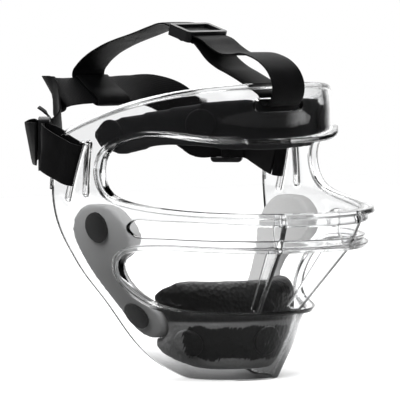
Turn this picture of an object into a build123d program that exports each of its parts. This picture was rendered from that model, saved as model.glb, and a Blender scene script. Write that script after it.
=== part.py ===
from build123d import *
from math import atan2, cos, hypot, radians, sin
import os

# Softball face guard: a clear moulded mask, foam pads stuck inside it and a webbing harness.
# Up is Z, the wearer looks along minus Y, and plus X is the wearer's left.
# Lengths are in millimetres. Until the last step Y is counted from the front strap slots.

# Driving sizes of the clear shell
shell_height = 174.0
half_span = 84.5
nose_reach = 115.0
rear_reach = 30.0
wall = 3.0
lip_height = 4.0
lip_width = 2.6
rim_height = 1.6
rim_width = 2.8
rest_depth = 30.0

# Strap slots in the shell
slot_width = 3.8
front_slot_length = 32.0
front_slot_height = 123.0
rear_slot_length = 36.0
rear_slot_height = 121.0
rear_slot_back = 11.0
rear_slot_lean = 17.0
brow_slot_length = 37.0
brow_slot_width = 7.5
brow_slot_height = 160.0

# Upright blades in front of the mouth
blade_thickness = 3.0
blade_top_spread = 29.7
blade_foot_spread = 16.0
blade_depth = 14.0
blade_foot_depth = 7.0

# Webbing and its sliders
web_width = 25.0
web_thickness = 1.3
bar_width = 3.0
bar_thickness = 1.6
rail_width = 2.8
slider_length = 19.0
slider_corner = 2.5
slider_travel = 6.0
sewn_length = 9.0
back_clearance = 83.0
back_height = 164.5
back_lean = 55.0
crown_height = 204.7

# Pads and the hook dots that hold them
forehead_foam = 8.0
cheek_foam = 9.0
chin_cushion = 16.0
dot_radius = 8.7
dot_thickness = 2.0

# Clearances
seat_gap = 0.25
pad_gap = 1.2
web_gap = 0.25
cut_over = 12.0
side_over = 20.0
bend_room = 1.5
side_stand = 1.2

# How far the pads' outer faces lie inside the shell's outer face
pad_depth = wall + dot_thickness + 2 * seat_gap

os.makedirs("parts", exist_ok=True)


# Level sections of the shell's outer face: height, half width, place of the widest point and front,
# as shares of the shell's height, half span, nose reach and nose reach.
shell_section_shares = [
    (-0.040, 0.240, 0.275, 0.475),
    (0.020, 0.355, 0.245, 0.518),
    (0.072, 0.442, 0.190, 0.549),
    (0.138, 0.546, 0.122, 0.578),
    (0.218, 0.652, 0.070, 0.604),
    (0.299, 0.770, 0.035, 0.730),
    (0.414, 0.912, 0.000, 0.913),
    (0.529, 0.988, 0.000, 1.000),
    (0.644, 1.000, 0.000, 0.870),
    (0.787, 0.976, 0.000, 0.655),
    (0.908, 0.940, 0.000, 0.650),
    (1.000, 0.911, 0.000, 0.626),
    (1.040, 0.900, 0.000, 0.620),
]
# How far round from the side to the front each section point lies, as shares of the width and depth.
round_shares = [(0.985, 0.20), (0.93, 0.41), (0.80, 0.645), (0.58, 0.84), (0.30, 0.96)]


# Curves leave and enter their ends at an even pace
even_pace = (1, 1)


def section_points(half, centre, front):
    """Points round the front of a level section, from the left side to the right."""
    depth = front - centre
    side = [(half * across, -centre - depth * ahead) for across, ahead in round_shares]
    points = [(half, -centre), *side, (0, -front)]
    points += [(-x, y) for x, y in reversed(side)]
    return [*points, (-half, -centre)]


def chord_places(points):
    """How far along a row of points each one lies, by the straight lines between them."""
    places = [0.0]
    for near, far in zip(points, points[1:]):
        places.append(places[-1] + hypot(far[0] - near[0], far[1] - near[1]))
    return places


# Every section runs at the pace of the widest one, which keeps the lofts through them simple
section_places = chord_places(section_points(half_span, 0, nose_reach))


def level_section(height, half, centre, front):
    """Closed outline open to the rear: straight sides and a rounded front."""
    points = section_points(half, centre, front)
    pace = (front - centre) / nose_reach
    nose = Edge.make_spline(points, [(0, -pace), (0, pace)], parameters=section_places, scale=False)
    back = rear_reach + side_over
    sides = Polyline((-half, -centre), (-half, back), (half, back), (half, -centre))
    return Pos(0, 0, height) * make_face([nose, *sides.edges()])


def shell_body(grow):
    """The shell's form as one solid block, its face moved outwards by grow."""
    sections = []
    for up, across, centre, front in shell_section_shares:
        sections.append(
            level_section(
                up * shell_height,
                across * half_span + grow,
                centre * nose_reach,
                front * nose_reach + grow,
            )
        )
    return loft(sections)


def side_face(outline):
    """A face seen from the side: its points are (distance behind the slots, height)."""
    return Plane.YZ * outline


def to_left(face):
    """Carry a side face from the middle out past the left side."""
    return extrude(face, half_span + side_over, dir=(1, 0, 0))


def through(face):
    """Carry a side face right across the mask."""
    return extrude(face, half_span + side_over, both=True)


# Places read along an outline to find the one beside it
loop_steps = 30


def moved_out(loop, grow, count):
    """Points beside a clockwise outline, each the same distance outside it."""
    points = []
    for step in range(count):
        place = loop @ (step / loop_steps)
        along = (loop % (step / loop_steps)).normalized()
        points.append((place.X - along.Y * grow, place.Y + along.X * grow))
    return points


def open_front(opening, grow=0):
    """Outline of an opening that runs round the front, grown by the width of its lip."""
    upper, rear, lower = opening
    ahead = -nose_reach - cut_over
    points = [(-y * nose_reach, z * shell_height) for y, z in [*upper, *rear, *lower]]
    loop = Spline(*points, tangents=((1, 0), (-1, 0)), tangent_scalars=even_pace)
    if grow:
        points = moved_out(loop, grow, loop_steps + 1)
        loop = Spline(*points, tangents=((1, 0), (-1, 0)), tangent_scalars=even_pace)
    front = Polyline(
        points[-1],
        (ahead - cut_over, points[-1][1]),
        (ahead - cut_over, points[0][1]),
        points[0],
    )
    return side_face(make_face([loop, *front.edges()]))


# Openings of the shell in side view, as shares of the nose reach ahead of the slots and of the height
eye_upper_shares = [
    (1.10, 0.792),
    (0.80, 0.792),
    (0.62, 0.795),
    (0.46, 0.817),
    (0.33, 0.820),
    (0.215, 0.800),
]
eye_rear_shares = [(0.140, 0.765), (0.115, 0.725), (0.122, 0.680)]
eye_lower_shares = [
    (0.165, 0.637),
    (0.26, 0.610),
    (0.42, 0.593),
    (0.60, 0.582),
    (0.80, 0.575),
    (1.10, 0.572),
]
nose_upper_shares = [(1.10, 0.527), (0.86, 0.533), (0.60, 0.543), (0.38, 0.547)]
nose_rear_shares = [(0.300, 0.540), (0.272, 0.518), (0.300, 0.496)]
nose_lower_shares = [(0.38, 0.488), (0.60, 0.487), (0.86, 0.485), (1.10, 0.484)]
mouth_upper_shares = [(1.10, 0.442), (0.80, 0.444), (0.55, 0.450), (0.34, 0.445)]
mouth_rear_shares = [(0.215, 0.422), (0.155, 0.375), (0.165, 0.318)]
mouth_lower_shares = [(0.235, 0.272), (0.37, 0.243), (0.52, 0.234), (0.70, 0.234), (1.10, 0.234)]

# The shell's own outline in side view: top rim from front to rear, then the rear edge down to the chin
top_rim_shares = [(1.15, 0.997), (0.62, 0.992), (0.38, 0.957), (0.18, 0.918), (0.04, 0.886), (-0.12, 0.849)]
rear_edge_shares = [
    (-0.185, 0.824),
    (-0.222, 0.775),
    (-0.258, 0.655),
    (-0.245, 0.560),
    (-0.172, 0.408),
    (-0.110, 0.285),
    (-0.045, 0.140),
    (0.020, 0.062),
    (0.120, 0.022),
]


def shell_outline():
    rim = [(-y * nose_reach, z * shell_height) for y, z in top_rim_shares]
    edge = [(-y * nose_reach, z * shell_height) for y, z in rear_edge_shares]
    rest_back = -chin_reach + rest_depth
    ahead = rim[0][0]
    curve = Spline(*rim, *edge, (rest_back, 0), tangents=((1, 0), (-1, 0)), tangent_scalars=even_pace)
    front = Polyline((rest_back, 0), (ahead, 0), rim[0])
    return make_face([curve, *front.edges()])


def at_height(height, column):
    """Read the section table at a height, as a share of the table's column."""
    rows = shell_section_shares
    share = height / shell_height
    for low, high in zip(rows, rows[1:]):
        if low[0] <= share <= high[0]:
            part = (share - low[0]) / (high[0] - low[0])
            return low[column] + part * (high[column] - low[column])
    return rows[-1][column]


chin_reach = at_height(0, 3) * nose_reach


def strap_slot(length, width, back, height, lean):
    """A round-ended strap slot through the left side."""
    outline = SlotOverall(length, width, rotation=90 + lean)
    return to_left(side_face(Pos(back, height) * outline))


# Blade corners as shares of its run and of the shell's height
mid_run_share = 0.830
gusset_top_share = 0.570
gusset_low_share = 0.535
mid_top_share = 0.495
mid_low_share = 0.450
foot_share = 0.245
blade_top_share = 0.545
blade_low_share = 0.225


def make_shell():
    """The left half of the moulding, then both halves as one solid."""
    openings = [
        (eye_upper_shares, eye_rear_shares, eye_lower_shares),
        (nose_upper_shares, nose_rear_shares, nose_lower_shares),
        (mouth_upper_shares, mouth_rear_shares, mouth_lower_shares),
    ]
    outline = shell_outline()
    body = shell_body(0) & to_left(side_face(outline))
    rim_band = outline - Pos(0, -rim_width) * outline
    body += shell_body(rim_height) & to_left(side_face(rim_band))
    # Each opening gets a lip that stands out from the face
    proud = shell_body(lip_height)
    for opening in openings:
        body += proud & to_left(open_front(opening, lip_width))
    body -= shell_body(-wall)
    for opening in openings:
        body -= to_left(open_front(opening))
    body -= strap_slot(front_slot_length, slot_width, 0, front_slot_height, 0)
    body -= strap_slot(rear_slot_length, slot_width, rear_slot_back, rear_slot_height, rear_slot_lean)
    brow_slot = SlotOverall(brow_slot_length, brow_slot_width)
    brow_cut = Plane.XZ * (Pos(0, brow_slot_height) * brow_slot)
    body -= extrude(brow_cut, nose_reach)
    body += make_blade()
    return body + mirror(body, about=Plane.YZ)


def make_blade():
    """An upright plate that stands square to the wall, from the upper bar down to the chin lip."""
    top_ahead = front_at(blade_top_share, blade_top_spread) + lip_height
    foot_ahead = front_at(blade_low_share, blade_foot_spread) + lip_height
    turn = atan2(blade_top_spread - blade_foot_spread, top_ahead - foot_ahead)
    run = hypot(blade_top_spread - blade_foot_spread, top_ahead - foot_ahead)
    mid_run = run * mid_run_share
    bar_top = shell_height * gusset_top_share
    bar_low = shell_height * gusset_low_share
    mid_top = shell_height * mid_top_share
    mid_low = shell_height * mid_low_share
    foot = shell_height * foot_share
    gusset = Polyline(
        (run, bar_top),
        (run - blade_depth, bar_top),
        (run - blade_depth, mid_top),
        (mid_run - lip_height, mid_low),
        (mid_run, mid_low),
        (run, bar_low),
        close=True,
    )
    strut = Polyline(
        (mid_run, mid_low),
        (mid_run - blade_depth, mid_low + lip_width),
        (-blade_foot_depth, foot),
        (0, foot - lip_width),
        close=True,
    )
    outline = make_face(gusset) + make_face(strut)
    plane = Plane(
        origin=(blade_foot_spread, -foot_ahead, 0),
        x_dir=(sin(turn), -cos(turn), 0),
        z_dir=(-cos(turn), -sin(turn), 0),
    )
    return extrude(plane * outline, blade_thickness / 2, both=True)


def front_at(share, spread):
    """How far ahead of the slots the outer face lies, at a share of the height and a distance aside."""
    height = share * shell_height
    half = at_height(height, 1) * half_span
    centre = at_height(height, 2) * nose_reach
    front = at_height(height, 3) * nose_reach
    rows = [(1, 0), *round_shares, (0, 1)]
    across = spread / half
    for near, far in zip(rows, rows[1:]):
        if far[0] <= across <= near[0]:
            part = (across - near[0]) / (far[0] - near[0])
            return centre + (front - centre) * (near[1] + part * (far[1] - near[1]))
    return front


def side_of(height, ahead):
    """How far from the middle the shell's outer face lies, at a height and a distance ahead."""
    half = at_height(height, 1) * half_span
    centre = at_height(height, 2) * nose_reach
    front = at_height(height, 3) * nose_reach
    rows = [(1, 0), *round_shares, (0, 1)]
    along = max(0, (ahead - centre) / (front - centre))
    for near, far in zip(rows, rows[1:]):
        if near[1] <= along <= far[1]:
            part = (along - near[1]) / (far[1] - near[1])
            return half * (near[0] + part * (far[0] - near[0]))
    return 0


def slab(rows, near, far):
    """The space between two inward offsets of a form given by level sections."""
    blocks = []
    for grow in (-near, -far):
        sections = [level_section(z, half + grow, centre, front + grow) for z, half, centre, front in rows]
        blocks.append(loft(sections))
    return blocks[0] - blocks[1]


def shell_rows(first, last):
    """The shell's own level sections between two rows of its table."""
    rows = []
    for up, across, centre, front in shell_section_shares[first:last]:
        rows.append((up * shell_height, across * half_span, centre * nose_reach, front * nose_reach))
    return rows


# Pad outlines in side view, as shares of the nose reach ahead of the slots and of the shell's height
cheek_outline_shares = [
    (0.000, 0.590),
    (-0.110, 0.560),
    (-0.160, 0.500),
    (-0.145, 0.430),
    (-0.095, 0.320),
    (-0.048, 0.228),
    (0.000, 0.166),
    (0.090, 0.142),
    (0.180, 0.165),
    (0.205, 0.225),
    (0.130, 0.275),
    (0.062, 0.330),
    (0.070, 0.385),
    (0.190, 0.435),
    (0.240, 0.475),
    (0.205, 0.545),
    (0.110, 0.585),
]
brow_outline_shares = [
    (1.10, 0.945),
    (0.60, 0.945),
    (0.38, 0.915),
    (0.18, 0.884),
    (0.04, 0.855),
    (-0.02, 0.820),
    (0.02, 0.785),
    (0.10, 0.762),
    (0.20, 0.760),
    (0.33, 0.788),
    (0.46, 0.786),
    (0.62, 0.762),
    (1.10, 0.752),
]
chin_outline_shares = [
    (1.10, 0.350),
    (0.34, 0.350),
    (0.22, 0.300),
    (0.11, 0.225),
    (0.06, 0.150),
    (0.07, 0.090),
    (0.15, 0.060),
    (0.25, 0.042),
    (0.40, 0.036),
    (1.10, 0.036),
]
# Level sections of the chin cushion: height, half width, widest place and front as the shell's shares,
# then how far its inner face and its outer face draw in, as shares of its thickness.
cushion_section_shares = [
    (0.015, 0.355, 0.245, 0.518, 0.10, 0.10),
    (0.072, 0.442, 0.190, 0.549, 0.00, 0.00),
    (0.138, 0.546, 0.122, 0.578, 0.00, 0.00),
    (0.218, 0.640, 0.080, 0.604, 0.00, 0.00),
    (0.280, 0.640, 0.080, 0.604, 0.02, 0.02),
    (0.312, 0.640, 0.080, 0.604, 0.14, 0.12),
    (0.332, 0.640, 0.080, 0.604, 0.36, 0.36),
]


def cheek_face(grow):
    """Dog-bone outline of a cheek pad."""
    points = [(-y * nose_reach, z * shell_height) for y, z in cheek_outline_shares]
    loop = Spline(*points, periodic=True)
    if grow:
        loop = Spline(*moved_out(loop, grow, loop_steps), periodic=True)
    return side_face(make_face([loop]))


def front_outline_face(shares):
    """A side outline whose ends run out past the front."""
    points = [(-y * nose_reach, z * shell_height) for y, z in shares]
    curve = Spline(*points, tangents=((1, 0), (-1, 0)), tangent_scalars=even_pace)
    return side_face(make_face([curve, *Polyline(points[-1], points[0]).edges()]))


def make_cheek_pad():
    """Foam pad shaped like a dog bone inside the left side plate."""
    return slab(shell_rows(0, 12), pad_depth, pad_depth + cheek_foam) & to_left(cheek_face(0))


# Notch in the forehead lining where the overhead strap comes in: how far inside the wall, in webbing
# thicknesses, and how far above the slot, in webbing widths
groove_shares = [(3, -0.20), (8, 0.25), (16, 0.56)]
brow_wall = at_height(brow_slot_height, 3) * nose_reach


def strap_groove():
    inner = wall - brow_wall
    points = []
    for thick, up in groove_shares:
        points.append((inner + thick * web_thickness, brow_slot_height + up * web_width))
    outer = inner - pad_depth
    profile = Polyline((outer, points[0][1]), *points, (outer, points[-1][1]), close=True)
    return extrude(side_face(make_face(profile)), web_width / 2 + 2 * web_gap, both=True)


# Below this row of the section table the forehead pad hangs straight
hang_row = 9
brow_hang = 20.0
on_base = (Align.CENTER, Align.CENTER, Align.MIN)


def make_forehead_pad():
    """Foam lining of the forehead band that hangs below it, notched where the overhead strap comes in."""
    up, across, centre, front = shell_section_shares[hang_row]
    room = 2 * (nose_reach + cut_over)
    faces = []
    for grow in (-pad_depth, -pad_depth - forehead_foam):
        half = across * half_span + grow
        faces.append(level_section(up * shell_height, half, centre * nose_reach, front * nose_reach + grow))
    hanging = extrude(faces[0] - faces[1], brow_hang, dir=(0, 0, -1))
    lining = slab(shell_rows(0, 13), pad_depth, pad_depth + forehead_foam)
    above = Pos(0, 0, up * shell_height) * Box(room, room, shell_height, align=on_base)
    block = (lining & above) + hanging
    return (block & through(front_outline_face(brow_outline_shares))) - strap_groove()


def cushion_block(inward, grow):
    """The chin cushion's form, from its outer face or its inner face."""
    sections = []
    for up, across, centre, front, *draw_in in cushion_section_shares:
        half = across * half_span - pad_depth + grow
        ahead = front * nose_reach - pad_depth + grow
        depth = chin_cushion - draw_in[0] * chin_cushion if inward else draw_in[1] * chin_cushion
        sections.append(level_section(up * shell_height, half - depth, centre * nose_reach, ahead - depth))
    return loft(sections, ruled=True)


def make_chin_pad():
    """Thick cushion round the inside of the chin band, crowned above it and fitted over the cheek pads."""
    cushion = cushion_block(False, 0) - cushion_block(True, 0)
    cushion &= through(front_outline_face(chin_outline_shares))
    room = slab(shell_rows(0, 8), wall, pad_depth + cheek_foam + pad_gap) & to_left(cheek_face(pad_gap))
    return cushion - room - mirror(room, about=Plane.YZ)


# Length of the round bar that a hook dot is cut with
dot_bar = 4 * pad_depth


def dot_cutter(height, ahead):
    """A round bar square to the wall at one place of the left side."""
    step = wall
    across = side_of(height, ahead)
    turn = (side_of(height, ahead + step) - across) / step
    lean = (side_of(height + step, ahead) - across) / step
    outward = Vector(1, turn, -lean).normalized()
    return Plane(origin=(across, -ahead, height), z_dir=outward) * Cylinder(dot_radius, dot_bar)


def make_dots(places, pad_form):
    """Hook dots on the left side: they fill the space between the shell and a pad, less a little."""
    hooks = shell_body(-wall - seat_gap) - pad_form
    return [hooks & dot_cutter(up * shell_height, ahead * nose_reach) for up, ahead in places]


# Hook dots: height and place ahead of the slots, as shares of the shell's height and the nose reach
cheek_dot_shares = [(0.508, 0.040), (0.206, 0.065)]
brow_dot_shares = [(0.825, 0.120), (0.862, 0.530)]
chin_dot_shares = [(0.120, 0.330)]
chin_front_dot_share = 0.130


def make_front_dot():
    """The hook dot in the middle of the chin band."""
    height = chin_front_dot_share * shell_height
    step = wall
    ahead = at_height(height, 3) * nose_reach
    lean = (at_height(height + step, 3) * nose_reach - ahead) / step
    hooks = shell_body(-wall - seat_gap) - cushion_block(False, seat_gap)
    plane = Plane(origin=(0, -ahead, height), z_dir=(0, -1, -lean))
    return hooks & (plane * Cylinder(dot_radius, dot_bar))


# Cross sections in each span of a curved run of webbing
ribbon_steps = 3


def ribbon(runs):
    """A flat strip of webbing along curved and straight runs, turned by the given width directions."""
    rings = []
    for points, widths, ends in runs:
        path = Spline(*points, tangents=ends, tangent_scalars=even_pace) if ends else Line(*points)
        places = [path.param_at_point(Vector(*point)) for point in points]
        places[0], places[-1] = 0.0, 1.0
        steps = ribbon_steps if ends else 1
        for span in range(len(points) - 1):
            for step in range(steps):
                rings.append(strip_corners(path, places, widths, span, step / steps))
    rings.append(strip_corners(path, places, widths, len(points) - 2, 1.0))
    faces = [flat_face(rings[0]), flat_face(rings[-1])]
    for near, far in zip(rings, rings[1:]):
        for corner in range(4):
            beside = (corner + 1) % 4
            faces.append(flat_face([near[corner], near[beside], far[beside]]))
            faces.append(flat_face([near[corner], far[beside], far[corner]]))
    return Solid(Shell(faces))


def flat_face(corners):
    return Face(Wire.make_polygon(corners))


def strip_corners(path, places, widths, span, part):
    """The corners of the webbing's cross section at one place along a run."""
    place = places[span] + part * (places[span + 1] - places[span])
    along = path % place
    lean = Vector(*widths[span]) * (1 - part) + Vector(*widths[span + 1]) * part
    lean = (lean - along * lean.dot(along)).normalized()
    plane = Plane(origin=path @ place, x_dir=lean, z_dir=along)
    half, thick = web_width / 2, web_thickness / 2
    corners = [(-half, -thick), (half, -thick), (half, thick), (-half, thick)]
    return [plane.from_local_coords((*corner, 0)) for corner in corners]


def slider_plane(centre, forward, outward):
    """The slider's own frame: X across the webbing, Y along it, Z outwards."""
    return Plane(origin=centre, x_dir=Vector(*forward).cross(Vector(*outward)), z_dir=outward)


web_room = web_thickness / 2 + web_gap
frame_top = web_room + bar_thickness
sewn_drop = web_room + web_thickness + web_gap
frame_low = sewn_drop + bar_thickness
rail_centre = web_width / 2 + web_gap + rail_width / 2
frame_width = web_width + 2 * (web_gap + rail_width)
end_bar_place = slider_length / 2 - bar_width / 2


def make_slider():
    """Three-bar slider: two end bars over the webbing and a middle bar under it, between two rails."""
    rail_height = frame_top + frame_low
    middle = (frame_top - frame_low) / 2
    frame = Sketch()
    for side in (-1, 1):
        frame += Pos(side * rail_centre, 0) * Rectangle(rail_width, slider_length)
    solid = Pos(0, 0, -frame_low) * extrude(frame, rail_height)
    for end in (-1, 1):
        bar = Box(frame_width, bar_width, bar_thickness)
        solid += Pos(0, end * end_bar_place, web_room + bar_thickness / 2) * bar
    solid += Pos(0, 0, -sewn_drop - bar_thickness / 2) * Box(frame_width, bar_width, bar_thickness)
    outside = RectangleRounded(frame_width, slider_length, slider_corner)
    block = Pos(0, 0, middle) * extrude(outside, rail_height / 2, both=True)
    return solid & block


def make_sewn_end():
    """The end of a return layer, folded round the middle bar and stitched flat to itself."""
    inner_half = bar_width / 2 + web_gap
    outer_half = inner_half + web_thickness
    inner_tall = bar_thickness + 2 * web_gap
    outer_tall = inner_tall + 2 * web_thickness
    level = -sewn_drop - bar_thickness / 2
    ring = Box(web_width, 2 * outer_half, outer_tall) - Box(web_width, 2 * inner_half, inner_tall)
    ends = ring.edges().filter_by(Axis.X).group_by(Axis.Y)
    ring = fillet(ends[0] + ends[-1], web_thickness / 2)
    tab_length = sewn_length
    tab = Box(web_width, tab_length, 2 * web_thickness)
    tab = Pos(0, outer_half - web_thickness + tab_length / 2, 0) * tab
    return Pos(0, 0, level) * (ring + tab)


sewn_reach = bar_width / 2 + web_gap + sewn_length
sewn_level = sewn_drop + bar_thickness / 2


def place_in(plane, along, up):
    """A point of a slider's frame in the whole part."""
    return plane.from_local_coords((0, along, up))


# The straight stretch of webbing that each slider slides on
straight_half = slider_length / 2 + slider_travel + bend_room

# Overhead strap, seen from the side as (behind, up) shares of the back clearance and the crown height
crown_slope = 15.0
crown_back_share = -0.036
crown_centre_share = 0.982
rise_shares = [
    (1.150, 0.850),
    (1.105, 0.876),
    (1.000, 0.905),
    (0.850, 0.932),
    (0.660, 0.954),
    (0.450, 0.973),
    (0.290, 0.990),
    (0.200, 0.998),
]
fall_shares = [(-0.315, 0.938), (-0.435, 0.923), (-0.550, 0.921), (-0.650, 0.925), (-0.740, 0.918)]
brow_shares = [(-0.850, 0.900), (-0.935, 0.871), (-0.972, 0.838), (-0.968, 0.812)]
return_shares = [(-0.290, 0.906), (-0.500, 0.868), (-0.650, 0.843)]

# Back strap on the right side, as shares of the half span, the back clearance and the back height
side_slider_shares = (-0.860, 0.622, 0.824)
side_heading = 42.0
back_shares = [
    (-0.665, 0.800, 0.875),
    (-0.590, 0.842, 0.940),
    (-0.450, 0.918, 0.985),
    (-0.300, 0.978, 0.998),
]
back_widths = [(-0.3, -0.3, 0.9), (-0.25, 0.1, 0.9), (-0.1, 0.5, 0.85), (0, 0.78, 0.62)]
back_flat_share = 0.175
slot_web_lean = 20.0
slot_web_rise = 3.4
# Free tail at a side slider: back from the slider's middle, outwards and up, as shares of the web's width
tail_shares = [
    (-0.24, 0.195, 0.0),
    (0.04, 0.25, 0.0),
    (0.40, 0.36, 0.0),
    (0.75, 0.40, 0.0),
    (1.00, 0.36, 0.0),
]


def lean_back(angle):
    """Width direction of webbing whose top edge leans backwards."""
    return (0, sin(radians(angle)), cos(radians(angle)))


# Where the overhead strap goes in at the forehead slot
brow_web_rise = 2.8
brow_stand = 4.0
brow_bow = 1.2


def make_overhead_strap(crown):
    """From a loop round the back strap over the crown, through the slider and in at the forehead slot."""
    across = (1, 0, 0)
    slope = radians(crown_slope)
    ahead = (0, -cos(slope), -sin(slope))
    start = place_in(crown, -straight_half, 0)
    end = place_in(crown, straight_half, 0)
    lean = Vector(*lean_back(back_lean))
    face_out = Vector(0, lean.Z, -lean.Y)
    centre = Vector(0, back_clearance, back_height)
    layer = web_thickness + web_gap
    loop_top = centre + lean * (web_width / 2) - face_out * layer
    loop_low = centre - lean * (web_width / 2) - face_out * layer
    loop_turn = centre - lean * (web_width / 2 + layer)
    back_low = centre - lean * (web_width / 2) + face_out * layer
    back_top = centre + lean * (web_width / 2) + face_out * layer
    down = tuple(-lean)
    rise = [(0, y * back_clearance, z * crown_height) for y, z in rise_shares]
    front = fall_shares + brow_shares
    fall = [(0, y * back_clearance, z * crown_height) for y, z in front]
    slot_out = (0, -brow_wall - brow_stand, brow_slot_height + brow_web_rise)
    slot_mid = (0, -brow_wall + wall / 2, brow_slot_height)
    slot_in = (0, -brow_wall + wall + web_room + brow_bow, brow_slot_height + brow_web_rise)
    runs = [
        ([loop_top, loop_low], [across] * 2, None),
        ([loop_low, loop_turn, back_low], [across] * 3, (down, tuple(lean))),
        ([back_low, back_top], [across] * 2, None),
        ([back_top, *rise, start], [across] * (len(rise) + 2), (tuple(lean), ahead)),
        ([start, end], [across] * 2, None),
        ([end, *fall, slot_out], [across] * (len(fall) + 2), (ahead, (0, 0.4, -1))),
        ([slot_out, slot_mid, slot_in], [across] * 3, ((0, 0.4, -1), (0, 0, 1))),
    ]
    return ribbon(runs)


def make_overhead_return(crown):
    """The strap's return layer, from inside the forehead slot back up to the slider."""
    across = (1, 0, 0)
    slope = radians(crown_slope)
    ahead = (0, -cos(slope), -sin(slope))
    start = place_in(crown, sewn_reach + web_gap, -sewn_level)
    hang = [(0, y * back_clearance, z * crown_height) for y, z in return_shares]
    end = (0, -brow_wall + wall + web_room + brow_bow, brow_slot_height + brow_web_rise + web_gap)
    points = [start, *hang, end]
    return ribbon([(points, [across] * len(points), (ahead, (0, 0, -1)))])


def side_points():
    """Places of the back strap on the right side, from inside the rear slot to its own slider."""
    height = rear_slot_height + slot_web_rise
    back = rear_slot_back - slot_web_rise * sin(radians(rear_slot_lean))
    face = at_height(height, 1) * half_span
    climb = sin(radians(slot_web_lean))
    outside = -(half_span + web_room + side_stand)
    inside = -(at_height(height + web_width, 1) * half_span - wall - web_room)
    step = wall
    return {
        "in": (inside, back + step, height + step * climb),
        "mid": (-(face - wall / 2), back, height),
        "out": (outside, back + step, height + step * climb),
        "lean": (0, -climb, cos(radians(slot_web_lean))),
        "along": (0, cos(radians(slot_web_lean)), climb),
    }


def make_back_strap(plane):
    """Round the back of the head, through both side sliders, ending just inside the rear slots."""
    side = side_points()
    upright = (0, 0, 1)
    heading = tuple(plane.y_dir * -1)
    start = place_in(plane, straight_half, 0)
    end = place_in(plane, -straight_half, 0)
    away = Vector(*side["out"]) + Vector(*side["along"]) * (rear_reach - rear_slot_back - web_thickness)
    away = away - Vector(rim_height, 0, 0)
    back = [(x * half_span, y * back_clearance, z * back_height) for x, y, z in back_shares]
    widths = [upright, *back_widths, lean_back(back_lean)]
    slot_turn = (tuple(-Vector(*side["along"])), side["along"])
    middle = (-back_flat_share * half_span, back_clearance, back_height)
    right = [
        ([side["in"], side["mid"], side["out"]], [side["lean"]] * 3, slot_turn),
        ([side["out"], away, start], [side["lean"], side["lean"], upright], (side["along"], heading)),
        ([start, end], [upright] * 2, None),
        ([end, *back, middle], widths, (heading, (1, 0, 0))),
    ]
    left = []
    for points, leans, ends in reversed(right):
        mirrored = [mirror_point(point) for point in reversed(points)]
        turned = [mirror_point(lean) for lean in reversed(leans)]
        way = None
        if ends:
            way = (flip(mirror_point(ends[1])), flip(mirror_point(ends[0])))
        left.append((mirrored, turned, way))
    flat = [([middle, mirror_point(middle)], [lean_back(back_lean)] * 2, None)]
    return ribbon(right + flat + left)


def mirror_point(point):
    x, y, z = tuple(point)
    return (-x, y, z)


def flip(direction):
    return tuple(-Vector(*direction))


def make_side_return(plane):
    """From inside the rear slot back to the end that is sewn round the slider's middle bar."""
    side = side_points()
    upright = (0, 0, 1)
    start = Vector(*side["in"]) + Vector(*side["along"]) * web_gap
    end = place_in(plane, sewn_reach + web_gap, -sewn_level)
    halfway = start + Vector(*side["along"]) * (rear_reach - rear_slot_back) / 2
    heading = tuple(plane.y_dir * -1)
    points = [start, halfway, end]
    widths = [side["lean"], side["lean"], upright]
    return ribbon([(points, widths, (side["along"], heading))])


# How far the tail's start sinks below the slider's outer face
tail_seat = 3.95

def make_tail(plane):
    """The free end of the webbing, bowed out past the slider."""
    points = []
    for back, out, up in tail_shares:
        local = (0, -back * web_width, frame_top + out * web_width - tail_seat)
        points.append(plane.from_local_coords(local) + Vector(0, 0, up * web_width))
    upright = (0, 0, 1)
    widths = [upright] * len(points)
    heading = tuple(plane.y_dir * -1)
    leaf = tuple(Vector(*points[-1]) - Vector(*points[-2]))
    return ribbon([(points, widths, (heading, leaf))])


crown_centre = (0, crown_back_share * back_clearance, crown_centre_share * crown_height)
crown_angle = radians(crown_slope)
crown_plane = slider_plane(
    crown_centre, (0, -cos(crown_angle), -sin(crown_angle)), (0, -sin(crown_angle), cos(crown_angle))
)
side_angle = radians(side_heading)
side_centre = (
    side_slider_shares[0] * half_span,
    side_slider_shares[1] * back_clearance,
    side_slider_shares[2] * back_height,
)
side_plane = slider_plane(
    side_centre, (-sin(side_angle), -cos(side_angle), 0), (-cos(side_angle), sin(side_angle), 0)
)

nodes = {"face_shell": make_shell()}
nodes["forehead_pad"] = make_forehead_pad()
nodes["chin_pad"] = make_chin_pad()
lined_form = shell_body(-pad_depth + seat_gap)
left_dots = {
    "cheek": make_dots(cheek_dot_shares, lined_form),
    "brow": make_dots(brow_dot_shares, lined_form),
    "chin": make_dots(chin_dot_shares, cushion_block(False, seat_gap)),
}
right_dots = {place: [mirror(dot, about=Plane.YZ) for dot in dots] for place, dots in left_dots.items()}
nodes["forehead_dots"] = Compound(children=left_dots["brow"] + right_dots["brow"])
nodes["chin_dots"] = Compound(children=left_dots["chin"] + right_dots["chin"] + [make_front_dot()])
nodes["overhead_strap"] = make_overhead_strap(crown_plane)
nodes["overhead_return"] = make_overhead_return(crown_plane)
nodes["top_slider"] = crown_plane * make_slider()
nodes["top_sewn_end"] = crown_plane * make_sewn_end()
nodes["back_strap"] = make_back_strap(side_plane)
right_pieces = {
    "cheek_pad": mirror(make_cheek_pad(), about=Plane.YZ),
    "cheek_dots": Compound(children=right_dots["cheek"]),
    "slider": side_plane * make_slider(),
    "sewn_end": side_plane * make_sewn_end(),
    "return": make_side_return(side_plane),
    "strap_tail": make_tail(side_plane),
}
for piece, solid in right_pieces.items():
    nodes[f"right_{piece}"] = solid
    nodes[f"left_{piece}"] = mirror(solid, about=Plane.YZ)

for node, shape in nodes.items():
    solids = shape.solids()
    print(node, len(solids), round(sum(solid.volume for solid in solids)), shape.is_valid)
    export_step(Pos(0, chin_reach - wall / 2, 0) * shape, f"parts/{node}.step")
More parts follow.
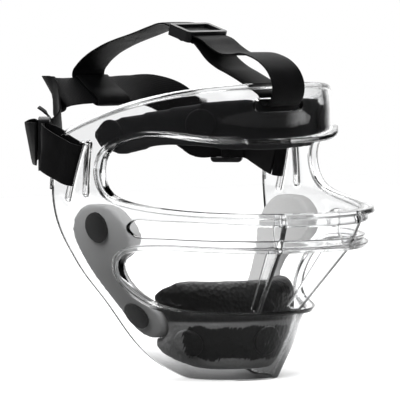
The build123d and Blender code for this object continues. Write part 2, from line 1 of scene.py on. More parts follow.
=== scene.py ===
import math
import bmesh
import bpy
import numpy as np
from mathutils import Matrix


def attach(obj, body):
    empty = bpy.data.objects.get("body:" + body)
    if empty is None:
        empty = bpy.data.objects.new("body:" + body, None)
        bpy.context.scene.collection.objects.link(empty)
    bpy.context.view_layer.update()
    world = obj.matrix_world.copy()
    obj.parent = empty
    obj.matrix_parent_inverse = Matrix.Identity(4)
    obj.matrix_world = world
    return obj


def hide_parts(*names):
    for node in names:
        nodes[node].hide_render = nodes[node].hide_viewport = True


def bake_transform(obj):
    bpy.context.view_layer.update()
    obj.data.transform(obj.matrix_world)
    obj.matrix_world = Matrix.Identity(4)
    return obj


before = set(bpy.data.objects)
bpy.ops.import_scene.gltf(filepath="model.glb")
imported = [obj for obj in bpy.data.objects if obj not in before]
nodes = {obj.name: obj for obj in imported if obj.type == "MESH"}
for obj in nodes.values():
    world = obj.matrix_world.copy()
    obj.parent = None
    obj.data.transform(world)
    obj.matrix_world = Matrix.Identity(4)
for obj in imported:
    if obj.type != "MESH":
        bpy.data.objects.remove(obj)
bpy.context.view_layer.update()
scene = bpy.context.scene
slotsBehind = 56.42  # mm from the chin rim's front back to the front strap slots
print("frame loaded:", len(nodes), "nodes")


# Places are given in millimetres: left of the middle, behind the front strap slots, up from the rest
def rowPlace(points):
    return (np.asarray(points, float) + (0, slotsBehind, 0)) / 1000


# The direction to a place round the object: azimuth 0 is in front of the face
def towards(azimuth, elevation):
    turn, rise = math.radians(azimuth), math.radians(elevation)
    return (math.sin(turn) * math.cos(rise), -math.cos(turn) * math.cos(rise), math.sin(rise))


# Camera

camera = {
    "azimuth": -42.0, "elevation": 3.3, "distance": 3.0,
    "pixelsPerMm": 1.70, "across": 3.24, "up": 101.8, "sensor": 36.0, "pixels": 400,
}
viewRight = (0.743, -0.669, 0)  # the camera's own right, level


def placeCamera(c):
    turn, rise = math.radians(c["azimuth"]), math.radians(c["elevation"])
    back = np.array(towards(c["azimuth"], c["elevation"]))
    right = np.array([math.cos(turn), math.sin(turn), 0])
    upward = np.cross(back, right)
    aim = rowPlace((0, 0, 0)) + (right * c["across"] + upward * c["up"]) / 1000
    data = bpy.data.cameras.new("photoCamera")
    data.sensor_width = c["sensor"]
    data.lens = c["sensor"] * c["distance"] * 1000 * c["pixelsPerMm"] / c["pixels"]
    data.clip_start, data.clip_end = 0.1, 20
    holder = bpy.data.objects.new("photoCamera", data)
    scene.collection.objects.link(holder)
    holder.location = aim + back * c["distance"]
    holder.rotation_euler = (math.pi / 2 - rise, 0, turn)
    scene.camera = holder


placeCamera(camera)


# Materials: every one is worked out from object coordinates or from a piece's own map

def newMaterial(name, colour, roughness):
    material = bpy.data.materials.new(name)
    material.use_nodes = True
    tree = material.node_tree
    shader = tree.nodes["Principled BSDF"]
    shader.inputs["Base Color"].default_value = (*colour, 1)
    shader.inputs["Roughness"].default_value = roughness
    return material, tree, shader


def addNode(tree, kind, **settings):
    node = tree.nodes.new(kind)
    for key, value in settings.items():
        if key in node.inputs:
            node.inputs[key].default_value = value
        else:
            setattr(node, key, value)
    return node


def mathNode(tree, operation, first, second=0.0):
    node = tree.nodes.new("ShaderNodeMath")
    node.operation = operation
    for socket, value in zip(node.inputs, (first, second)):
        if isinstance(value, (int, float)):
            socket.default_value = value
        else:
            tree.links.new(value, socket)
    return node.outputs[0]


def noiseHeight(tree, scale, detail=3.0, roughness=0.5):
    coordinates = addNode(tree, "ShaderNodeTexCoord")
    noise = addNode(tree, "ShaderNodeTexNoise", Scale=scale, Detail=detail, Roughness=roughness)
    tree.links.new(coordinates.outputs["Object"], noise.inputs["Vector"])
    return noise.outputs["Fac"]


def addBump(tree, shader, height, distance, strength=1.0, normal=None):
    bump = addNode(tree, "ShaderNodeBump", Strength=strength, Distance=distance)
    tree.links.new(height, bump.inputs["Height"])
    if normal is not None:
        tree.links.new(normal, bump.inputs["Normal"])
    tree.links.new(bump.outputs["Normal"], shader.inputs["Normal"])


def mixColours(tree, shader, factor, low, high):
    ramp = addNode(tree, "ShaderNodeValToRGB")
    ramp.color_ramp.elements[0].color = (*low, 1)
    ramp.color_ramp.elements[1].color = (*high, 1)
    tree.links.new(factor, ramp.inputs["Fac"])
    tree.links.new(ramp.outputs["Color"], shader.inputs["Base Color"])


clearShell = {
    "colour": (0.97, 0.975, 0.98), "index": 1.56, "roughness": 0.015, "edgeRadius": 0.0016, "wobble": 0.00025,
}


def makeClear(s):
    material, tree, shader = newMaterial("clearPolycarbonate", s["colour"], s["roughness"])
    shader.inputs["Transmission Weight"].default_value = 1.0
    shader.inputs["IOR"].default_value = s["index"]
    # Moulded edges are slightly round, and the wall is slightly wavy
    bevel = addNode(tree, "ShaderNodeBevel", Radius=s["edgeRadius"])
    bevel.samples = 6
    addBump(tree, shader, noiseHeight(tree, 45.0, 1.0), s["wobble"], 0.6, bevel.outputs["Normal"])
    return material


webbing = {
    # bright is the colour of a painted sheen on the weave's raised crests
    "colour": (0.0015, 0.0015, 0.0016), "bright": (0.006, 0.006, 0.0065), "specular": 0.06,
    "rib": 0.0016, "pick": 0.0011, "depth": 0.00018, "sheenNoiseScale": 160.0,
}


def makeWebbing(s, name="wovenWebbing"):
    material, tree, shader = newMaterial(name, s["colour"], 0.5)
    shader.inputs["Specular IOR Level"].default_value = s["specular"]
    spread = addNode(tree, "ShaderNodeSeparateXYZ")
    tree.links.new(addNode(tree, "ShaderNodeTexCoord").outputs["UV"], spread.inputs["Vector"])
    # Ribs run along the webbing and picks cross them: the height is one sine times the other,
    # staggered by half a rib
    along = mathNode(tree, "MULTIPLY", spread.outputs["X"], 2 * math.pi / s["pick"])
    across = mathNode(tree, "MULTIPLY", spread.outputs["Y"], 2 * math.pi / s["rib"])
    stagger = mathNode(tree, "ADD", across, mathNode(tree, "MULTIPLY", along, 0.5))
    weave = mathNode(tree, "MULTIPLY", mathNode(tree, "SINE", along), mathNode(tree, "SINE", stagger))
    weave = mathNode(tree, "ADD", mathNode(tree, "MULTIPLY", weave, 0.5), 0.5)
    addBump(tree, shader, weave, s["depth"], 0.7)
    # Painted sheen: the weave's raised crests are painted towards the bright colour, varied at random by
    # noise
    crestSheen = mathNode(tree, "MULTIPLY", weave, noiseHeight(tree, s["sheenNoiseScale"]))
    mixColours(tree, shader, crestSheen, s["colour"], s["bright"])
    return material


def makeFoam(name, low, high, roughness, cell, depth, shine=0.15):
    material, tree, shader = newMaterial(name, low, roughness)
    shader.inputs["Specular IOR Level"].default_value = shine
    shader.inputs["Sheen Weight"].default_value = 0.02
    cells = noiseHeight(tree, cell, 4.0, 0.7)
    addBump(tree, shader, cells, depth, 0.6)
    mixColours(tree, shader, cells, low, high)
    return material


def makeMoulded(name, colour, roughness):
    material, tree, shader = newMaterial(name, colour, roughness)
    bevel = addNode(tree, "ShaderNodeBevel", Radius=0.0005)
    bevel.samples = 4
    addBump(tree, shader, noiseHeight(tree, 2500.0), 0.00002, 0.5, bevel.outputs["Normal"])
    return material


clearMaterial = makeClear(clearShell)
webbingMaterial = makeWebbing(webbing)
blackFoam = makeFoam("blackFoam", (0.003, 0.003, 0.003), (0.009, 0.009, 0.01), 0.75, 900.0, 0.00012)
greyFoam = makeFoam("greyFoam", (0.33, 0.33, 0.33), (0.41, 0.41, 0.41), 0.85, 1200.0, 0.00008)
hookTape = makeFoam("hookTape", (0.002, 0.002, 0.002), (0.006, 0.006, 0.006), 0.8, 1500.0, 0.0003, 0.05)

coverLook = {
    "black": (0.003, 0.003, 0.003), "paintedHaze": (0.2, 0.2, 0.2), "roughness": 0.4, "specular": 0.55,
    "pebble": 420.0, "depth": 0.0006,
    # Metres: the outer face, behind the clear band, ends at topOfFace and is painted grey below it as painted
    # haze, and the black patch lies between these places
    "topOfFace": 0.036, "faceEdge": 0.002, "ragged": 0.006,
    "acrossFrom": -0.0445, "acrossTo": 0.0200, "upFrom": 0.0115, "upTo": 0.0330,
    "patch": 60.0, "patchShare": 1.3, "threads": 1100.0, "threadSpread": 60.0, "threadShare": 0.45,
    "slant": -0.35, "bareBelow": 1.47, "blackAbove": 1.60,
}


def smoothStep(tree, value, start, end):
    step = addNode(tree, "ShaderNodeMapRange")
    step.interpolation_type = "SMOOTHSTEP"
    step.inputs["From Min"].default_value = start
    step.inputs["From Max"].default_value = end
    tree.links.new(value, step.inputs["Value"])
    return step.outputs["Result"]


def alongAxis(tree, axis):
    aim = addNode(tree, "ShaderNodeVectorMath", operation="DOT_PRODUCT")
    tree.links.new(addNode(tree, "ShaderNodeTexCoord").outputs["Object"], aim.inputs[0])
    aim.inputs[1].default_value = axis
    return aim.outputs["Value"]


def makeCover(s):
    # A black cover, painted grey where it lies behind the clear band as painted haze standing in for the
    # band's reflections, that shows black where it is pressed on the clear wall, in a patch crossed by steep
    # threads
    material, tree, shader = newMaterial("cushionCover", s["black"], s["roughness"])
    shader.inputs["Specular IOR Level"].default_value = s["specular"]
    pebble = addNode(tree, "ShaderNodeTexVoronoi", Scale=s["pebble"])
    tree.links.new(addNode(tree, "ShaderNodeTexCoord").outputs["Object"], pebble.inputs["Vector"])
    addBump(tree, shader, pebble.outputs["Distance"], s["depth"], 0.6)
    sideways = alongAxis(tree, viewRight)
    upward = alongAxis(tree, (0, 0, 1))
    # Painted haze: below topOfFace, behind the clear band, the face is painted grey
    low = smoothStep(tree, upward, s["topOfFace"], s["topOfFace"] - s["faceEdge"])
    inside = None
    for place, start, end in ((sideways, s["acrossFrom"], s["acrossTo"]), (upward, s["upFrom"], s["upTo"])):
        for edge, inward in ((start, s["ragged"]), (end, -s["ragged"])):
            step = smoothStep(tree, place, edge - inward, edge + inward)
            inside = step if inside is None else mathNode(tree, "MULTIPLY", inside, step)
    thread = addNode(tree, "ShaderNodeCombineXYZ")
    slant = mathNode(tree, "ADD", sideways, mathNode(tree, "MULTIPLY", upward, s["slant"]))
    tree.links.new(mathNode(tree, "MULTIPLY", slant, s["threads"]), thread.inputs["X"])
    tree.links.new(mathNode(tree, "MULTIPLY", upward, s["threadSpread"]), thread.inputs["Y"])
    threads = addNode(tree, "ShaderNodeTexNoise", Scale=1.0, Detail=1.0)
    tree.links.new(thread.outputs["Vector"], threads.inputs["Vector"])
    spread = mathNode(tree, "MULTIPLY", noiseHeight(tree, s["patch"], 4.0, 0.6), s["patchShare"])
    streaks = mathNode(tree, "MULTIPLY", threads.outputs["Fac"], s["threadShare"])
    total = mathNode(tree, "ADD", streaks, mathNode(tree, "ADD", spread, inside))
    black = smoothStep(tree, total, s["bareBelow"], s["blackAbove"])
    # The painted haze covers the face behind the band, except in the black patch
    paintedHaze = mathNode(tree, "MULTIPLY", low, mathNode(tree, "SUBTRACT", 1.0, black))
    mixColours(tree, shader, paintedHaze, s["black"], s["paintedHaze"])
    return material


cushionCover = makeCover(coverLook)
sliderPlastic = makeMoulded("sliderPlastic", (0.004, 0.004, 0.0045), 0.35)
print("materials made")


# Meshes from arrays

def smoothLine(points, step):
    # A cubic through every point: its slope there is the slopes on both sides, each weighted by
    # the other side's length
    points = np.asarray(points, float)
    spans = np.linalg.norm(np.diff(points, axis=0), axis=1)
    at = np.concatenate(([0], np.cumsum(spans)))
    slopes = np.diff(points, axis=0) / spans[:, None]
    lead, trail = spans[1:, None], spans[:-1, None]
    inner = (slopes[:-1] * lead + slopes[1:] * trail) / (lead + trail)
    tangent = np.concatenate((slopes[:1], inner, slopes[-1:]))
    counts = np.maximum(3, np.round(spans / step)).astype(int)
    runs = [np.linspace(a, b, n, endpoint=False) for a, b, n in zip(at, at[1:], counts)]
    place = np.concatenate(runs + [at[-1:]])
    index = np.clip(np.searchsorted(at, place, side="right") - 1, 0, len(spans) - 1)
    reach = spans[index][:, None]
    u = (place - at[index])[:, None] / reach
    near, far = points[index], points[index + 1]
    line = (2 * u**3 - 3 * u**2 + 1) * near + (u**3 - 2 * u**2 + u) * tangent[index] * reach
    line += (3 * u**2 - 2 * u**3) * far + (u**3 - u**2) * tangent[index + 1] * reach
    return line, place, at


def unit(vectors):
    return vectors / np.linalg.norm(vectors, axis=-1, keepdims=True)


def meshPiece(name, grid, material, body, chart=None, closed=True, capped=True):
    # A grid of points, closed round its second parameter, becomes quads, with a many-sided cap at each end
    rows, columns = grid.shape[:2]
    number = np.arange(rows * columns).reshape(rows, columns)
    wrap = np.concatenate((number, number[:, :1]), axis=1) if closed else number
    quads = np.stack((wrap[:-1, :-1], wrap[1:, :-1], wrap[1:, 1:], wrap[:-1, 1:]), axis=-1).reshape(-1, 4)
    faces = quads.tolist()
    if capped and closed:
        faces += [number[0].tolist(), number[-1, ::-1].tolist()]
    mesh = bpy.data.meshes.new(name)
    mesh.from_pydata(grid.reshape(-1, 3).tolist(), [], faces)
    if chart is not None:
        layer = mesh.uv_layers.new(name="clothMap")
        corner = np.empty(len(mesh.loops), int)
        mesh.loops.foreach_get("vertex_index", corner)
        layer.data.foreach_set("uv", chart.reshape(-1, 2)[corner].ravel())
    mesh.shade_smooth()
    mesh.materials.append(material)
    piece = bpy.data.objects.new(name, mesh)
    scene.collection.objects.link(piece)
    if body:
        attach(piece, body)
    return piece


# Webbing: a flat profile with soft edges carried along the strap's smooth line

strapShape = {"width": 25.0, "thickness": 1.3, "edge": 0.55, "step": 1.2, "ripple": 0.12}


def webbingPiece(name, route, widths, body, s=strapShape):
    line, place, at = smoothLine(route, s["step"])
    lean = np.stack([np.interp(place, at, column) for column in np.asarray(widths, float).T], axis=1)
    forward = unit(np.gradient(line, place, axis=0))
    lean = unit(lean - forward * np.sum(lean * forward, axis=1, keepdims=True))
    outward = np.cross(forward, lean)
    half = s["width"] / 2
    share = np.sin(np.linspace(-math.pi / 2, math.pi / 2, 17))
    rise = s["thickness"] / 2 * (s["edge"] + (1 - s["edge"]) * (1 - share**6))
    side = np.concatenate((share, share[::-1])) * half
    height = np.concatenate((rise, -rise[::-1]))
    long = np.sin(place / 9.0)[:, None] * np.sin(side / 7.0)
    short = 0.6 * np.sin(place / 4.3)[:, None] * np.cos(side / 5.0)
    wave = s["ripple"] * (long + short)
    # Along the line, out to the side along the lean, and up by the profile and the ripple
    grid = line[:, None] + lean[:, None] * side[None, :, None]
    grid = grid + outward[:, None] * (height + wave)[:, :, None]
    chart = np.stack(np.broadcast_arrays(place[:, None] / 1000, side[None] / 1000), axis=-1)
    return meshPiece(name, rowPlace(grid), webbingMaterial, body, chart)


overhead = {
    "route": [
        (0, 92.3, 172.9), (0, 82, 165.8), (0, 71.9, 158.6), (0, 71.2, 156.9), (0, 72.2, 155.9),
        (0, 73.7, 156.1),
        (0, 84, 163.3), (0, 94.1, 170.4), (0, 95.5, 172.6), (0, 94.9, 176), (0, 91.7, 179.3),
        (0, 83, 185.2),
        (0, 70.5, 190.8), (0, 54.8, 195.6), (0, 37.3, 200.3), (0, 25, 203.8), (0, 18.5, 205.4),
        (0, 13.4, 205.4),
        (0, 4.5, 203), (0, -3, 201), (0, -10.5, 199), (0, -19.4, 196.6), (0, -27, 192.5),
        (0, -36.1, 188.9),
        (0, -45.6, 188.5), (0, -54, 189.3), (0, -61.4, 187.9), (0, -70.5, 184.2), (0, -77.6, 178.3),
        (0, -80.7, 171.5), (0, -80.3, 166.2), (0, -78.4, 162.4), (0, -76, 160.3), (0, -72.9, 159.9),
        (0, -70.3, 161), (0, -69.3, 162.8),
    ],
    "returnRoute": [
        (0, -12.8, 195), (0, -18, 190.8), (0, -24.1, 185.5), (0, -32, 181.1), (0, -41.5, 177.7),
        (0, -54, 172.6),
        (0, -64, 167.8), (0, -68.6, 165), (0, -69.3, 163),
    ],
}
across = (1, 0, 0)
webbingPiece("overheadWebbing", overhead["route"], [across] * len(overhead["route"]), "guard")
returnRoute = overhead["returnRoute"]
overheadReturn = webbingPiece("overheadReturnWebbing", returnRoute, [across] * len(returnRoute), None)
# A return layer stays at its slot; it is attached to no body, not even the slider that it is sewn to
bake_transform(overheadReturn)

backStrap = {
    # Each rear slot, from its inside round to the slider
    "slotRoute": [
        (-76.8, 13, 125.4), (-78.6, 11, 124.8), (-82, 10, 124.4), (-84.8, 11, 124.8), (-86, 13, 125.4),
        (-86.9, 20, 127.9),
        (-87.6, 29.6, 131.5), (-86.5, 35.4, 133.8), (-84, 39, 135.2), (-77.9, 45.8, 135.5),
        (-72.7, 51.6, 135.5),
        (-67.5, 57.3, 135.5), (-61.3, 64.2, 135.5),
    ],
    "slotWidths": [
        (0, -0.34, 0.94), (0, -0.34, 0.94), (0, -0.34, 0.94), (0, -0.34, 0.94), (0, -0.34, 0.94),
        (0, -0.34, 0.94),
        (0, -0.34, 0.94), (0, -0.2, 0.97), (0, 0, 1), (0, 0, 1), (0, 0, 1),
        (0, 0, 1), (0, 0, 1),
    ],
    # From the slider to the middle of the back: the right side is folded over, the left side runs smoothly
    "rightRoute": [
        (-56.9, 66.1, 136.2), (-49.9, 67.8, 140.5), (-44.2, 69.4, 147), (-42.2, 72.3, 153.5),
        (-40.1, 76.5, 158.5),
        (-38.9, 81.3, 161.5), (-37.4, 84.4, 162.8), (-34.2, 85, 163.5), (-29.9, 83.6, 164),
        (-23, 82.8, 164.3), (-14.8, 83, 164.5),
    ],
    "rightWidths": [
        (-0.13, -0.15, 0.98), (-0.37, -0.41, 0.83), (-0.54, -0.59, 0.6), (-0.5, -0.56, 0.65),
        (-0.33, -0.37, 0.85),
        (-0.14, -0.01, 0.9), (-0.06, 0.39, 0.85), (-0.03, 0.64, 0.7), (0, 0.79, 0.6), (0, 0.82, 0.57),
        (0, 0.82, 0.57),
    ],
    "leftRoute": [
        (-56.2, 66.4, 143.9), (-49.9, 69.9, 154.6), (-38, 76.2, 162), (-25.3, 81.2, 164.2),
        (-14.8, 83, 164.5),
    ],
    "leftWidths": [
        (-0.3, -0.3, 0.9), (-0.25, 0.1, 0.9), (-0.1, 0.5, 0.85), (0, 0.78, 0.62), (0, 0.82, 0.57),
    ],
    "returnRoute": [
        (-76.8, 13.2, 125.5), (-77.2, 21, 128.3), (-77.6, 30, 131.9), (-77.7, 36, 134.3),
        (-77.6, 41.3, 135.4),
    ],
    "returnWidths": [(0, -0.34, 0.94), (0, -0.34, 0.94), (0, -0.3, 0.95), (0, -0.12, 1), (0, 0, 1)],
}
mirrored = np.array([-1, 1, 1])
rightHalf = np.array(backStrap["slotRoute"] + backStrap["rightRoute"])
rightWidths = np.array(backStrap["slotWidths"] + backStrap["rightWidths"])
leftHalf = np.array(backStrap["slotRoute"] + backStrap["leftRoute"])[::-1] * mirrored
leftWidths = np.array(backStrap["slotWidths"] + backStrap["leftWidths"])[::-1] * mirrored
wholeRoute = np.concatenate((rightHalf, leftHalf))
webbingPiece("backWebbing", wholeRoute, np.concatenate((rightWidths, leftWidths)), "guard")
for side, flip in (("right", 1), ("left", -1)):
    turn = np.array([flip, 1, 1])
    route = np.array(backStrap["returnRoute"]) * turn
    layer = webbingPiece(side + "ReturnWebbing", route, np.array(backStrap["returnWidths"]) * turn, None)
    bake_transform(layer)
print("straps made")


# Sewn ends and free tails

sewnEnd = {
    # Places in the slider's own frame: along towards the return, out from the webbing
    "ring": [
        (9.0, -2.6), (4, -2.6), (1.75, -2.0), (1.3, -1.75), (-1.1, -1.75), (-2.4, -2.1), (-2.6, -3.25),
        (-2.4, -4.4), (-1.1, -4.75), (1.3, -4.75), (1.75, -4.5), (4, -3.9), (10.7, -3.9),
    ],
}


def sliderFrame(centre, forward, outward):
    forward, outward = unit(np.array(forward, float)), unit(np.array(outward, float))
    return np.array(centre, float), forward, outward, np.cross(forward, outward)


sliderFrames = {
    "top": sliderFrame((0, -3, 201), (0, -0.966, -0.259), (0, -0.259, 0.966)),
    "right": sliderFrame((-72.7, 51.6, 135.5), (-0.669, -0.743, 0), (-0.743, 0.669, 0)),
    "left": sliderFrame((72.7, 51.6, 135.5), (0.669, -0.743, 0), (0.743, 0.669, 0)),
}
for side, (centre, forward, outward, sideways) in sliderFrames.items():
    places = np.array(sewnEnd["ring"])
    route = centre + places[:, :1] * forward + places[:, 1:] * outward
    webbingPiece(side + "SewnWebbing", route, [sideways] * len(route), side + "_adjuster")

tail = {
    # Out of the slider, bowed outwards, then turned up behind it to a curled free end
    "route": [
        (-78.9, 50.4, 135.5), (-76.2, 57.4, 135.5), (-71.4, 65.6, 135.6), (-64.6, 70.2, 137),
        (-56.8, 69.9, 141.5),
        (-53.1, 68, 148), (-55.4, 70, 153), (-58.3, 72.7, 156),
    ],
    "widths": [
        (0, 0, 1), (-0.1, 0.1, 0.98), (-0.15, 0.14, 0.97), (-0.2, 0, 0.97), (-0.42, -0.45, 0.78),
        (-0.62, -0.7, 0.25), (-0.66, -0.74, 0), (-0.66, -0.74, 0),
    ],
}
for side, flip in (("right", 1), ("left", -1)):
    turn = np.array([flip, 1, 1])
    route, widths = np.array(tail["route"]) * turn, np.array(tail["widths"]) * turn
    webbingPiece(side + "TailWebbing", route, widths, side + "_adjuster")
print("sewn ends and tails made")


# Pads start from their solids, are meshed evenly and softened

def mergedCopy(node, name):
    mesh = nodes[node].data.copy()
    mesh.materials.clear()
    loose = bmesh.new()
    loose.from_mesh(mesh)
    bmesh.ops.remove_doubles(loose, verts=loose.verts, dist=0.00002)
    loose.to_mesh(mesh)
    loose.free()
    piece = bpy.data.objects.new(name, mesh)
    scene.collection.objects.link(piece)
    return piece


def settle(piece):
    # The modifiers' result becomes the mesh
    made = bpy.data.meshes.new_from_object(piece.evaluated_get(bpy.context.evaluated_depsgraph_get()))
    piece.modifiers.clear()
    piece.data = made
    made.name = piece.name


def evenMesh(piece, voxel, rounds):
    remesh = piece.modifiers.new("evenMesh", "REMESH")
    remesh.mode = "VOXEL"
    remesh.voxel_size = voxel
    soften = piece.modifiers.new("soften", "SMOOTH")
    soften.factor = 0.5
    soften.iterations = rounds
    settle(piece)


def vertexPlaces(mesh):
    places = np.empty(len(mesh.vertices) * 3)
    mesh.vertices.foreach_get("co", places)
    return places.reshape(-1, 3)


def puffOut(piece, s):
    # Cloth under a little pressure fills the cover, then no place moves further than it should
    start = vertexPlaces(piece.data)
    cloth = piece.modifiers.new("cover", "CLOTH")
    cloth.settings.quality = s["quality"]
    cloth.settings.mass = s["mass"]
    cloth.settings.tension_stiffness = cloth.settings.compression_stiffness = s["stiffness"]
    cloth.settings.bending_stiffness = s["bending"]
    cloth.settings.use_pressure = True
    cloth.settings.uniform_pressure_force = s["pressure"]
    cloth.settings.effector_weights.gravity = 0
    cloth.collision_settings.use_collision = False
    cloth.point_cache.frame_end = s["frames"]
    for moment in range(1, s["frames"] + 1):
        scene.frame_set(moment)
    settle(piece)
    scene.frame_set(1)
    moved = vertexPlaces(piece.data) - start
    # Towards the shell, away from the head's middle, there is less room
    away = start - rowPlace((0, 20, 0))
    away[:, 2] = 0
    away = unit(away)
    outward = np.sum(moved * away, axis=1, keepdims=True)
    moved += away * (np.clip(outward, None, s["roomOut"]) - outward)
    length = np.maximum(np.linalg.norm(moved, axis=1, keepdims=True), 1e-9)
    moved *= np.minimum(1, s["reach"] / length)
    # Above the band the cushion bulges up, and both of its ends bulge outwards and back alike
    if "bulge" in s:
        place = start - rowPlace((0, 0, 0))
        sideShare, backShare = s["bulgeAim"]
        across = -sideShare * np.abs(place[:, 0]) - backShare * place[:, 1]
        outwards = np.zeros_like(place)
        outwards[:, 0] = sideShare * np.sign(place[:, 0])
        outwards[:, 1] = backShare
        above = np.clip((start[:, 2] - s["bandTop"]) / s["bulgeRise"], 0, 1)
        endwards = np.clip((s["bulgeFrom"] - across) / s["bulgeRun"], 0, 1)
        above, endwards = (3 * u**2 - 2 * u**3 for u in (above, endwards))
        moved += (above * endwards)[:, None] * outwards * s["bulge"]
        moved[:, 2] += above * s["lift"]
    piece.data.vertices.foreach_set("co", (start + moved).ravel())
    smoother = piece.modifiers.new("finer", "SUBSURF")
    smoother.levels = smoother.render_levels = 1
    settle(piece)


def pressRound(piece, neighbour, room):
    # The neighbour's shape, larger by the room, is taken out of the piece
    mesh = neighbour.data.copy()
    facing = np.empty(len(mesh.vertices) * 3)
    mesh.vertex_normals.foreach_get("vector", facing)
    mesh.vertices.foreach_set("co", (vertexPlaces(mesh) + facing.reshape(-1, 3) * room).ravel())
    form = bpy.data.objects.new("pressForm", mesh)
    scene.collection.objects.link(form)
    cut = piece.modifiers.new("press", "BOOLEAN")
    cut.operation = "DIFFERENCE"
    cut.solver = "EXACT"
    cut.object = form
    settle(piece)
    bpy.data.objects.remove(form)


def softPiece(node, name, material, s, neighbours=()):
    piece = mergedCopy(node, name)
    evenMesh(piece, s["voxel"], s["rounds"])
    if "pressure" in s:
        puffOut(piece, s)
    for neighbour in neighbours:
        pressRound(piece, neighbour, s["padRoom"])
    piece.data.materials.clear()
    piece.data.materials.append(material)
    piece.data.shade_smooth()
    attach(piece, "guard")
    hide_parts(node)
    return piece


foreheadPad = {
    "voxel": 0.0030, "rounds": 2, "pressure": 3.0, "stiffness": 12.0, "frames": 16,
    "quality": 6, "mass": 0.3, "bending": 0.3, "roomOut": 0.0006, "reach": 0.0018,
}
chinPad = {
    "voxel": 0.0040, "rounds": 3, "pressure": 5.0, "stiffness": 8.0, "frames": 20,
    "quality": 6, "mass": 0.3, "bending": 0.3, "roomOut": 0.0008, "reach": 0.0045,
    "bandTop": 0.036, "lift": 0.0015, "bulge": 0.0075, "bulgeRise": 0.012,
    "bulgeFrom": 0.005, "bulgeRun": 0.03, "bulgeAim": (0.743, 0.669), "padRoom": 0.0008,
}
pad = softPiece("forehead_pad", "foreheadPad", blackFoam, foreheadPad)
print("forehead pad made")
cheekPad = {"voxel": 0.0012, "rounds": 3}
cheekDots = {"voxel": 0.0005, "rounds": 1}
hiddenDots = {"voxel": 0.0006, "rounds": 0}
cheeks = []
for side in ("right", "left"):
    pad = softPiece(side + "_cheek_pad", side + "CheekPad", greyFoam, cheekPad)
    cheeks.append(pad)
    softPiece(side + "_cheek_dots", side + "CheekDots", hookTape, cheekDots)
pad = softPiece("chin_pad", "chinPad", cushionCover, chinPad, cheeks)
print("chin pad made")
softPiece("forehead_dots", "foreheadDots", blackFoam, hiddenDots)
softPiece("chin_dots", "chinDots", cushionCover, hiddenDots)
print("pads and dots made")

for name, node in (
    ("overheadWebbing", "overhead_strap"), ("overheadReturnWebbing", "overhead_return"),
    ("backWebbing", "back_strap"),
    ("rightReturnWebbing", "right_return"), ("leftReturnWebbing", "left_return"),
    ("topSewnWebbing", "top_sewn_end"), ("rightSewnWebbing", "right_sewn_end"),
    ("leftSewnWebbing", "left_sewn_end"),
    ("rightTailWebbing", "right_strap_tail"), ("leftTailWebbing", "left_strap_tail"),
):
    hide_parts(node)


# Hard pieces keep their solids

def finishNode(node, material):
    nodes[node].data.materials.clear()
    nodes[node].data.materials.append(material)


finishNode("face_shell", clearMaterial)
nodes["face_shell"].visible_shadow = False  # light passes through the clear moulding
for node in ("top_slider", "right_slider", "left_slider"):
    finishNode(node, sliderPlastic)


# Floor, surroundings and lights

floor = {
    "size": 3.0, "colour": (0.92, 0.92, 0.92), "azimuth": -42.0,
    "seenInClear": 0.06, "from": -0.02, "to": 0.35,
}


def makeFloor(f):
    reach = f["size"] / 2
    mesh = bpy.data.meshes.new("paleFloor")
    corners = [(-reach, -reach, 0), (reach, -reach, 0), (reach, reach, 0), (-reach, reach, 0)]
    mesh.from_pydata(corners, [], [(0, 1, 2, 3)])
    material, tree, shader = newMaterial("paleFloor", f["colour"], 0.9)
    # The clear shell meets a darker floor near the object, and a paler one beyond it
    place = addNode(tree, "ShaderNodeVectorMath", operation="DOT_PRODUCT")
    tree.links.new(addNode(tree, "ShaderNodeTexCoord").outputs["Object"], place.inputs[0])
    turn = math.radians(f["azimuth"])
    place.inputs[1].default_value = (-math.sin(turn), math.cos(turn), 0)
    grade = addNode(tree, "ShaderNodeMapRange")
    grade.interpolation_type = "SMOOTHSTEP"
    grade.inputs["From Min"].default_value, grade.inputs["From Max"].default_value = f["from"], f["to"]
    grade.inputs["To Min"].default_value = f["seenInClear"]
    tree.links.new(place.outputs["Value"], grade.inputs["Value"])
    path = addNode(tree, "ShaderNodeLightPath")
    plain = mathNode(tree, "MAXIMUM", path.outputs["Is Camera Ray"], path.outputs["Is Diffuse Ray"])
    level = addNode(tree, "ShaderNodeMapRange")
    tree.links.new(plain, level.inputs["Value"])
    tree.links.new(grade.outputs["Result"], level.inputs["To Min"])
    mixColours(tree, shader, level.outputs["Result"], (0, 0, 0), f["colour"])
    mesh.materials.append(material)
    piece = bpy.data.objects.new("paleFloor", mesh)
    scene.collection.objects.link(piece)


makeFloor(floor)

surroundings = {"azimuth": -42.0, "bright": 1.0, "dim": 0.02, "halfAngle": 20.0, "edge": 10.0}
panels = {
    "ceiling": {"azimuth": 0.0, "elevation": 90.0, "halfAngle": 26.0, "edge": 10.0, "level": 1.5},
    "band": {"azimuth": 5.0, "elevation": 22.0, "halfAngle": 9.0, "edge": 5.0, "level": 1.2},
}


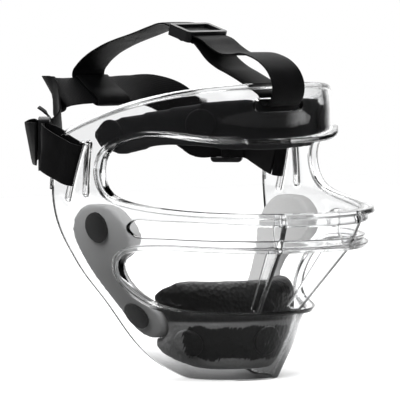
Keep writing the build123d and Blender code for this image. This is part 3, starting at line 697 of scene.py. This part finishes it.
def makeSurroundings(s):
    world = bpy.data.worlds.new("studio")
    scene.world = world
    world.use_nodes = True
    tree = world.node_tree
    background = tree.nodes["Background"]
    turn = math.radians(s["azimuth"])
    direction = addNode(tree, "ShaderNodeTexCoord").outputs["Generated"]
    facing = addNode(tree, "ShaderNodeVectorMath", operation="DOT_PRODUCT")
    tree.links.new(direction, facing.inputs[0])
    facing.inputs[1].default_value = (-math.sin(turn), math.cos(turn), 0)
    # White straight behind the object, darker to the sides, so the clear edges show
    window = addNode(tree, "ShaderNodeMapRange")
    window.interpolation_type = "SMOOTHSTEP"
    window.inputs["From Min"].default_value = math.cos(math.radians(s["halfAngle"] + s["edge"]))
    window.inputs["From Max"].default_value = math.cos(math.radians(s["halfAngle"] - s["edge"]))
    window.inputs["To Min"].default_value = s["dim"]
    window.inputs["To Max"].default_value = s["bright"]
    tree.links.new(facing.outputs["Value"], window.inputs["Value"])
    total = window.outputs["Result"]
    for p in panels.values():
        aim = addNode(tree, "ShaderNodeVectorMath", operation="DOT_PRODUCT")
        tree.links.new(direction, aim.inputs[0])
        aim.inputs[1].default_value = towards(p["azimuth"], p["elevation"])
        patch = addNode(tree, "ShaderNodeMapRange")
        patch.interpolation_type = "SMOOTHSTEP"
        patch.inputs["From Min"].default_value = math.cos(math.radians(p["halfAngle"] + p["edge"]))
        patch.inputs["From Max"].default_value = math.cos(math.radians(p["halfAngle"] - p["edge"]))
        patch.inputs["To Max"].default_value = p["level"]
        tree.links.new(aim.outputs["Value"], patch.inputs["Value"])
        total = mathNode(tree, "ADD", total, patch.outputs["Result"])
    # What the camera and matt surfaces meet is plain white
    path = addNode(tree, "ShaderNodeLightPath")
    plain = mathNode(tree, "MAXIMUM", path.outputs["Is Camera Ray"], path.outputs["Is Diffuse Ray"])
    level = addNode(tree, "ShaderNodeMapRange")
    tree.links.new(plain, level.inputs["Value"])
    tree.links.new(total, level.inputs["To Min"])
    level.inputs["To Max"].default_value = 1.0
    background.inputs["Color"].default_value = (1, 1, 1, 1)
    tree.links.new(level.outputs["Result"], background.inputs["Strength"])


makeSurroundings(surroundings)

lightAim = (0, 0.04, 0.1)
lights = {
    "key": {
        "azimuth": -75.0, "elevation": 40.0, "distance": 1.4,
        "size": 0.8, "watts": 16.0, "inGloss": False,
    },
    "front": {
        "azimuth": -20.0, "elevation": 15.0, "distance": 1.6,
        "size": 1.0, "watts": 6.0, "inGloss": False,
    },
    "rim": {
        "azimuth": 140.0, "elevation": 45.0, "distance": 1.5,
        "size": 0.9, "watts": 9.0, "inGloss": True,
    },
    "top": {
        "azimuth": 0.0, "elevation": 89.0, "distance": 1.5,
        "size": 1.2, "watts": 12.0, "inGloss": True,
    },
}


def makeLight(name, s):
    turn, rise = math.radians(s["azimuth"]), math.radians(s["elevation"])
    data = bpy.data.lights.new(name + "Light", "AREA")
    data.size = s["size"]
    data.energy = s["watts"]
    holder = bpy.data.objects.new(name + "Light", data)
    scene.collection.objects.link(holder)
    away = np.array(towards(s["azimuth"], s["elevation"]))
    holder.location = np.array(lightAim) + away * s["distance"]
    holder.rotation_euler = (math.pi / 2 - rise, 0, turn)
    holder.visible_glossy = s["inGloss"]
    holder.visible_transmission = s["inGloss"]


for name, settings in lights.items():
    makeLight(name, settings)
scene.view_settings.view_transform = "Standard"
print("lights and floor made")
